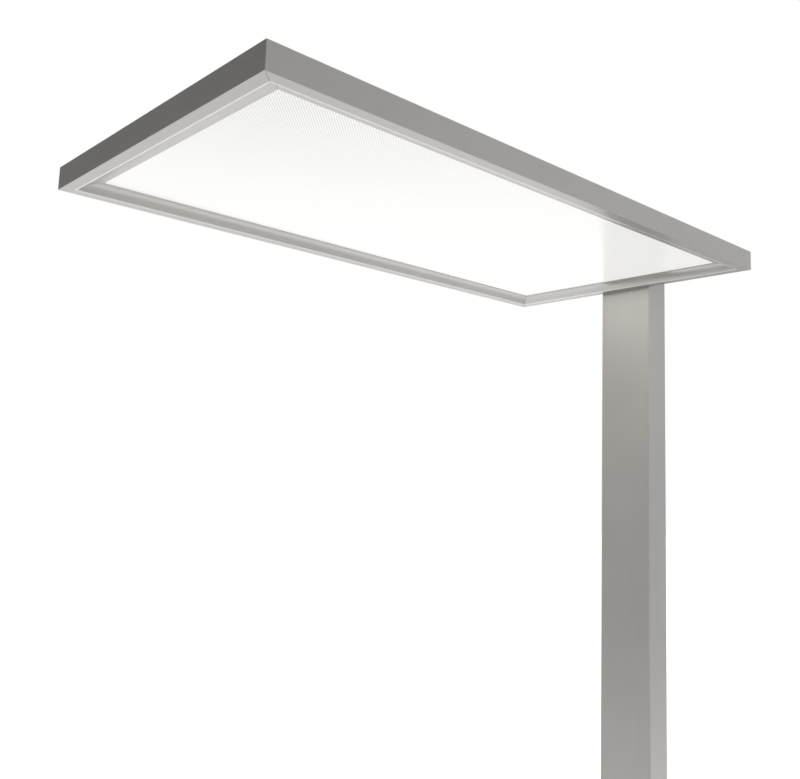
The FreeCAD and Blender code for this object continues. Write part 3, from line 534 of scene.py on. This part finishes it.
def frame_section(bm):
    """The bar's section as a face across X: Y is the way in from its outer side."""
    setback = rim_round * math.tan(cove_slope / 2)
    start = Vector((0, rim_corner + setback * math.cos(cove_slope),
                    setback * math.sin(cove_slope)))
    tip = Vector((0, *cove_tip))
    into_centre = Vector((0, math.sin(cove_slope), -math.cos(cove_slope)))
    chord = tip - start
    radius = chord.length_squared / (2 * chord.dot(into_centre))
    bend = 2 * math.asin(chord.length / 2 / radius)
    first = bm.verts.new(start)
    cove = bmesh.ops.spin(bm, geom=[first], cent=start + into_centre * radius,
                          axis=(1, 0, 0), angle=-bend, steps=cove_steps)
    last = cove["geom_last"][0]
    corners = [(cove_tip[0], shelf_level), (bar_wall, shelf_level), (bar_wall, ledge_bottom),
               (ledge_inset, ledge_bottom), (ledge_inset, ledge_top), (bar_wall, ledge_top),
               (bar_wall, head_height), (0, head_height), (0, 0), (rim_corner, 0)]
    chain = [last] + [bm.verts.new((0, *corner)) for corner in corners] + [first]
    for one, other in zip(chain, chain[1:]):
        bm.edges.new((one, other))
    bmesh.ops.contextual_create(bm, geom=bm.edges[:])
    rim, bottom, top = chain[-2], chain[-3], chain[-4]
    for vert, offset in ((rim, setback), (bottom, outer_edge), (top, outer_edge)):
        bmesh.ops.bevel(bm, geom=[vert], offset=offset, offset_type="OFFSET", segments=5,
                        profile=0.5, affect="VERTICES", material=-1)


def push_out(bm, faces, way):
    """Extrude faces along a vector."""
    pushed = bmesh.ops.extrude_face_region(bm, geom=faces)["geom"]
    bmesh.ops.translate(bm, vec=way,
                        verts=[item for item in pushed if isinstance(item, bmesh.types.BMVert)])


def frame_bar(length):
    """Mitred bar along X with its outer side at Y = 0."""
    bm = bmesh.new()
    frame_section(bm)
    push_out(bm, bm.faces[:], (length, 0, 0))
    shift = mitre_gap / math.sqrt(2)
    mitres = [(Vector((shift, 0, 0)), Vector((-1, 1, 0))),
              (Vector((length - shift, 0, 0)), Vector((1, 1, 0)))]
    for place, outwards in mitres:
        cut = bmesh.ops.bisect_plane(bm, geom=bm.verts[:] + bm.edges[:] + bm.faces[:],
                                     plane_co=place, plane_no=outwards, clear_outer=True)
        rim = [item for item in cut["geom_cut"] if isinstance(item, bmesh.types.BMEdge)]
        cap = bmesh.ops.contextual_create(bm, geom=rim)["faces"]
        soften(bm, cap[0].edges[:], mitre_burr, segments=1)
    return bm


def placed_bar(length, corner, turn, name, material, node):
    """Frame bar turned about Z and moved to its side of the head."""
    bm = frame_bar(length)
    place = Matrix.Translation(corner) @ Matrix.Rotation(math.radians(turn), 4, "Z")
    bmesh.ops.transform(bm, matrix=place, verts=bm.verts[:])
    make_piece(bm, name, material, "lamp", "anodised_aluminium", node)


def paint_rim_shade_and_highlight(material, axis):
    """Paint shade on the rim's flat and a highlight on its inner edge. The axis x or y is across
    the bar.

    The painted highlight is a strip along the rim's inner edge, where its rounding catches the
    light, so it is found by its distance from the head's middle on either side.
    """
    tree = material.node_tree
    shader = tree.nodes["Principled BSDF"]
    drawn = shader.inputs["Base Color"].links[0].from_socket
    low, high = getattr(head_low, axis), getattr(head_high, axis)
    strip = (high - low) / 2 - rim_corner + highlight_from_edge
    place = add(tree, "ShaderNodeTexCoord").outputs["Object"]
    parts = add(tree, "ShaderNodeSeparateXYZ", {0: place})
    aside = parts.outputs[axis.upper()]
    for middle in ((low + high) / 2, strip):
        apart = add(tree, "ShaderNodeMath", {0: aside, 1: middle}, operation="SUBTRACT")
        distance = add(tree, "ShaderNodeMath", {0: apart.outputs[0]}, operation="ABSOLUTE")
        aside = distance.outputs[0]
    # The painted highlight: a light strip along the rim's inner edge.
    highlight_mask = add(tree, "ShaderNodeMapRange",
                 {"Value": aside, "From Min": highlight_width / 2,
                  "From Max": highlight_width / 2 + highlight_fade, "To Min": 1.0, "To Max": 0.0})
    # Painted shade: the rim's downward flat is coloured a shade darker.
    flat = add(tree, "ShaderNodeMapRange",
               {"Value": parts.outputs["Z"], "From Min": head_low.z + painted_shade_depth[0],
                "From Max": head_low.z + painted_shade_depth[1], "To Min": 1.0, "To Max": 0.0})
    shaded_flat = add(tree, "ShaderNodeMix",
                 {0: flat.outputs[0], 6: drawn, 7: linear(painted_shade_grey)}, data_type="RGBA")
    bright = add(tree, "ShaderNodeMix",
                 {0: highlight_mask.outputs[0], 6: shaded_flat.outputs[2], 7: linear(painted_highlight_grey)},
                 data_type="RGBA")
    tree.links.new(bright.outputs[2], shader.inputs["Base Color"])


head_length = head_high.x - head_low.x
head_width = head_high.y - head_low.y
anodised_long = anodised("x")
anodised_short = anodised("y")
paint_rim_shade_and_highlight(anodised_long, "y")
paint_rim_shade_and_highlight(anodised_short, "x")
placed_bar(head_length, (head_low.x, head_low.y, head_low.z), 0,
           "frame_bar_right", anodised_long, "frame_side_right")
placed_bar(head_length, (head_high.x, head_high.y, head_low.z), 180,
           "frame_bar_left", anodised_long, "frame_side_left")
placed_bar(head_width, (head_high.x, head_low.y, head_low.z), 90,
           "frame_bar_free_end", anodised_short, "frame_end_free")
placed_bar(head_width, (head_low.x, head_high.y, head_low.z), -90,
           "frame_bar_post_end", anodised_short, "frame_end_post")
coat(mill_aluminium, "corner_keys")
coat(zinc_plated_steel, "corner_key_screws", "head_bracket", "bracket_plate_screws",
     "bracket_frame_screws")

# ---------------------------------------------------------------------------
# Prism panel: a cast acrylic sheet whose face carries a fine field of small pyramids. Light
# from the guide above leaves through it, so it glows evenly and still mirrors the post.
# ---------------------------------------------------------------------------

panel_edge = 0.2 * MM
prism_turn = math.radians(45)
prism_pitch = 1.9 * MM
prism_grey = "#6d6c69"
prism_glow = 0.705
glow_dark = "#9f9e99"
glow_light = "#fffffd"
even_share = 0.93
mottle_width = 90 * MM
mottle_gain = 0.06
groove_gain = 0.9
groove_mean = 0.58
groove_reach = (60 * MM, 230 * MM)
groove_fade = 0.12
# A wave texture of scale 1 repeats once in this many metres.
wave_period = math.tau / 20


def prism_acrylic(corner):
    """Lit prismatic acrylic: glossy, almost white, with rows of prisms set slantwise.

    The rows show as fine grey lines towards the given corner, where the guide's light
    leaves steeply, and melt into an even glow away from it. The real ones are finer and
    are drawn as coarse as they need to be to show.
    """
    material, tree, shader = plain_finish("prismatic_acrylic",
                                          {"Base Color": linear(prism_grey),
                                           "Roughness": 0.2, "IOR": 1.49,
                                           "Specular IOR Level": 0.36,
                                           "Emission Strength": prism_glow})
    place = add(tree, "ShaderNodeTexCoord").outputs["Object"]
    turned = add(tree, "ShaderNodeMapping",
                 {"Vector": place, "Rotation": (0, 0, prism_turn)})
    waves = [add(tree, "ShaderNodeTexWave",
                 {"Vector": turned.outputs[0], "Scale": wave_period / prism_pitch},
                 wave_type="BANDS", bands_direction=direction, wave_profile="SIN")
             for direction in "XY"]
    prisms = add(tree, "ShaderNodeMath",
                 {0: waves[0].outputs["Fac"], 1: waves[1].outputs["Fac"]}, operation="ADD")
    relief = add(tree, "ShaderNodeMath",
                 {0: prisms.outputs[0], 1: 1 / len(waves), 2: -groove_mean},
                 operation="MULTIPLY_ADD")
    away = add(tree, "ShaderNodeVectorMath", {0: place, 1: corner}, operation="DISTANCE")
    depth = add(tree, "ShaderNodeMapRange",
                {"Value": away.outputs["Value"], "From Min": groove_reach[0],
                 "From Max": groove_reach[1], "To Min": groove_gain,
                 "To Max": groove_gain * groove_fade}, interpolation_type="SMOOTHSTEP")
    mottle = add(tree, "ShaderNodeTexNoise",
                 {"Vector": place, "Scale": 1 / mottle_width, "Detail": 2.0})
    even = add(tree, "ShaderNodeMath", {0: mottle.outputs["Fac"], 1: mottle_gain,
                                        2: even_share - mottle_gain / 2},
               operation="MULTIPLY_ADD")
    share = add(tree, "ShaderNodeMath",
                {0: relief.outputs[0], 1: depth.outputs[0], 2: even.outputs[0]},
                operation="MULTIPLY_ADD")
    glow = add(tree, "ShaderNodeMix",
               {0: share.outputs[0], 6: linear(glow_dark), 7: linear(glow_light)},
               data_type="RGBA", clamp_factor=False)
    tree.links.new(glow.outputs[2], shader.inputs["Emission Color"])
    return material


panel = block(*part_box("prism_panel"))
soften(panel, panel.edges[:], panel_edge, segments=1)
panel_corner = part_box("prism_panel")[1]
make_piece(panel, "prism_panel_sheet", prism_acrylic(panel_corner), "lamp", "prism_acrylic",
           "prism_panel")

# ---------------------------------------------------------------------------
# Layers above the panel: a clear guide, a white reflector and an aluminium back plate, held
# down by foam, with strips of light-emitting packages along the long walls. The board for
# the upward light lies on the back plate.
# ---------------------------------------------------------------------------

# Guide acrylic: clear, glossy and faintly milky from the dots printed on it.
guide_acrylic = grained("cast_guide_acrylic", "#f2f5f4", "#e4e9e8",
                        grain=1.2 * MM, depth=0.004 * MM, roughness=(0.08, 0.16), IOR=1.49)
# Reflector film: brilliant white, foamed, with a silky surface.
reflector_film = grained("foamed_reflector_film", "#f7f7f5", "#ecece9",
                         grain=0.8 * MM, depth=0.01 * MM, roughness=(0.45, 0.6))
# Phosphor: the yellow resin over each light source.
led_phosphor = grained("phosphor_resin", "#f2d46a", "#e0bd4c",
                       grain=0.6 * MM, depth=0.01 * MM, roughness=(0.35, 0.5))
# Foam: charcoal, matt and open-celled.
cellular_foam = grained("cellular_foam", "#4a4a4a", "#333333",
                        grain=1.0 * MM, depth=0.2 * MM, roughness=(0.85, 0.95))

coat(guide_acrylic, "light_guide")
coat(reflector_film, "reflector_sheet")
coat(mill_aluminium, "back_plate")
coat(circuit_board, "led_strip_right", "led_strip_left", "uplight_board")
coat(led_phosphor, "led_packages", "uplight_leds")
coat(cellular_foam, "foam_strips")

# ---------------------------------------------------------------------------
# Top cover: a flat sheet of coated aluminium between the frame's walls, held to its ledge by
# countersunk screws. An opal window for the upward light fills its cutout from beneath.
# ---------------------------------------------------------------------------

window_flange = 6.3 * MM
window_edge = 0.4 * MM
opal_glow = 0.05
opal_light = "#fffaf0"

# Coated aluminium: the frame's grey as a finely textured lacquer.
coated_aluminium = grained("coated_aluminium_sheet", "#adaba7", "#a3a19d",
                           grain=0.9 * MM, depth=0.03 * MM, roughness=(0.46, 0.58), Metallic=0.15)
# Opal acrylic: milky, a little grey because it lets half the light through, and softly lit
# from the packages beneath.
opal_acrylic = grained("opal_acrylic", "#d8d7d1", "#cfcec8",
                       grain=1.0 * MM, depth=0.005 * MM,
                       roughness=(0.2, 0.3), IOR=1.49, **{"Emission Strength": opal_glow})
opal_shader = opal_acrylic.node_tree.nodes["Principled BSDF"]
opal_shader.inputs["Emission Color"].default_value = linear(opal_light)

window_low, window_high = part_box("top_window")
flange_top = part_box("top_cover")[0].z
window = block(window_low, (window_high.x, window_high.y, flange_top))
pane = [max(window.faces, key=lambda face: face.calc_center_median().z)]
bmesh.ops.inset_region(window, faces=pane, thickness=window_flange)
push_out(window, pane, (0, 0, window_high.z - flange_top))
bmesh.ops.delete(window, geom=pane, context="FACES")
soften(window, edges_at(window, "z", window_high.z), window_edge, segments=3)
make_piece(window, "top_window_opal", opal_acrylic, "lamp", "opal_acrylic", "top_window")
coat(coated_aluminium, "top_cover")
coat(zinc_plated_steel, "top_cover_screws")

# ---------------------------------------------------------------------------
# Studio: a pale floor, an even pale surround and large soft lights, with grey cloths that
# shape the reflections on the bars. The panel's own light falls on the post, stronger than
# the picture can show the panel itself.
# ---------------------------------------------------------------------------

floor_size = 60.0
floor_shade = "#c8c8c6"
near_whiteness = 0.25
white_beyond = (1.4, 4.6)
surround_light = 0.2


def soft_light(name, place, aim, size, power, colour="#ffffff", in_gloss=False):
    """Rectangular soft light that the camera doesn't see, nor, as a rule, the gloss."""
    data = bpy.data.lights.new(name, "AREA")
    data.shape = "RECTANGLE"
    data.size, data.size_y = size
    data.energy = power
    data.color = linear(colour)[:3]
    light = bpy.data.objects.new(name, data)
    light.location = place
    light.rotation_euler = (Vector(aim) - Vector(place)).to_track_quat("-Z", "Y").to_euler()
    light.visible_camera = False
    light.visible_glossy = in_gloss
    bpy.context.scene.collection.objects.link(light)


def studio_piece(bm, name, material):
    """Object that stands in the studio and is no part of the lamp."""
    mesh = bpy.data.meshes.new(name)
    bm.to_mesh(mesh)
    bm.free()
    mesh.materials.append(material)
    piece = bpy.data.objects.new(name, mesh)
    bpy.context.scene.collection.objects.link(piece)
    return piece


def grey_cloth(name, low, high, brightness):
    """Hanging cloth that only the gloss of the metal sees, as an even grey."""
    material = plain_finish(name, {"Base Color": linear("#000000"), "Roughness": 1.0,
                                   "Specular IOR Level": 0.0,
                                   "Emission Color": linear("#ffffff"),
                                   "Emission Strength": brightness})[0]
    cloth = studio_piece(block(low, high), name, material)
    cloth.visible_camera = False
    cloth.visible_diffuse = False
    cloth.visible_shadow = False
    cloth.visible_transmission = False


def looked_at(tree):
    """One where the camera, a mirror or glass looks, and nought where light is gathered."""
    ray = add(tree, "ShaderNodeLightPath")
    seen = add(tree, "ShaderNodeMath", {0: ray.outputs["Is Camera Ray"],
                                        1: ray.outputs["Is Glossy Ray"]}, operation="ADD")
    seen = add(tree, "ShaderNodeMath", {0: seen.outputs[0],
                                        1: ray.outputs["Is Transmission Ray"]},
               operation="ADD", use_clamp=True)
    return seen.outputs[0]


soft_light("overhead", place=(0.0, -2.0, 12.0), aim=(0.0, -2.0, 0.0), size=(6.0, 6.0),
           power=1050)
soft_light("left_side", place=(0.2, 3.6, 1.6), aim=(0.2, 0.0, 1.5), size=(2.5, 2.5),
           power=75)
soft_light("low_right", place=(-0.7, -1.75, 0.01), aim=(-0.7, -1.75, 2.0),
           size=(3.75, 1.0), power=9, in_gloss=True)
soft_light("panel_glow", place=(0.3385, 0.0, 1.9355), aim=(0.3385, 0.0, 0.0),
           size=(0.583, 0.273), power=1.4, colour="#fff9f0")
grey_cloth("cloth_right", low=(-0.5, -4.6, 1.6), high=(4.0, -4.5, 8.0), brightness=0.2)
grey_cloth("cloth_front", low=(4.0, -6.0, 0.0), high=(4.1, 2.9, 3.1), brightness=0.54)
grey_cloth("cloth_front_upper", low=(4.0, -6.0, 3.1), high=(4.1, 2.9, 8.0),
           brightness=0.15)
grey_cloth("cloth_left", low=(-9.0, 2.9, 0.0), high=(-2.0, 3.0, 6.0), brightness=0.66)
grey_cloth("cloth_left_front", low=(-2.0, 2.9, 0.0), high=(4.0, 3.0, 6.0), brightness=0.4)
grey_cloth("cloth_rear", low=(-3.6, -2.4, 0.0), high=(-3.5, 1.5, 1.8), brightness=0.6)

# The floor is lit and shaded like any other near the lamp and turns plain white further
# out, where the camera, mirrors and glass look past the studio.
floor_paint, floor_tree, floor_shader = plain_finish(
    "studio_floor_paint", {"Base Color": linear(floor_shade), "Roughness": 0.9,
                           "Emission Color": linear("#ffffff")})
spot = add(floor_tree, "ShaderNodeTexCoord").outputs["Object"]
distance = add(floor_tree, "ShaderNodeVectorMath", {0: spot}, operation="LENGTH")
outside = add(floor_tree, "ShaderNodeMapRange",
              {"Value": distance.outputs["Value"], "From Min": white_beyond[0],
               "From Max": white_beyond[1], "To Min": near_whiteness, "To Max": 1.0})
whiteness = add(floor_tree, "ShaderNodeMath",
                {0: looked_at(floor_tree), 1: outside.outputs[0]}, operation="MULTIPLY")
floor_tree.links.new(whiteness.outputs[0], floor_shader.inputs["Emission Strength"])
floor = bmesh.new()
bmesh.ops.create_grid(floor, x_segments=1, y_segments=1, size=floor_size / 2)
studio_piece(floor, "studio_floor", floor_paint)

# The surround is pale where it is looked at and gives only a little light of its own.
world = bpy.data.worlds.new("studio_surround")
world.use_nodes = True
sky = world.node_tree
sky_shader = sky.nodes["Background"]
strength = add(sky, "ShaderNodeMapRange",
               {"Value": looked_at(sky), "To Min": surround_light, "To Max": 1.0})
sky.links.new(strength.outputs[0], sky_shader.inputs["Strength"])
sky_shader.inputs["Color"].default_value = linear("#ffffff")
bpy.context.scene.world = world
bpy.context.scene.view_settings.view_transform = "Standard"
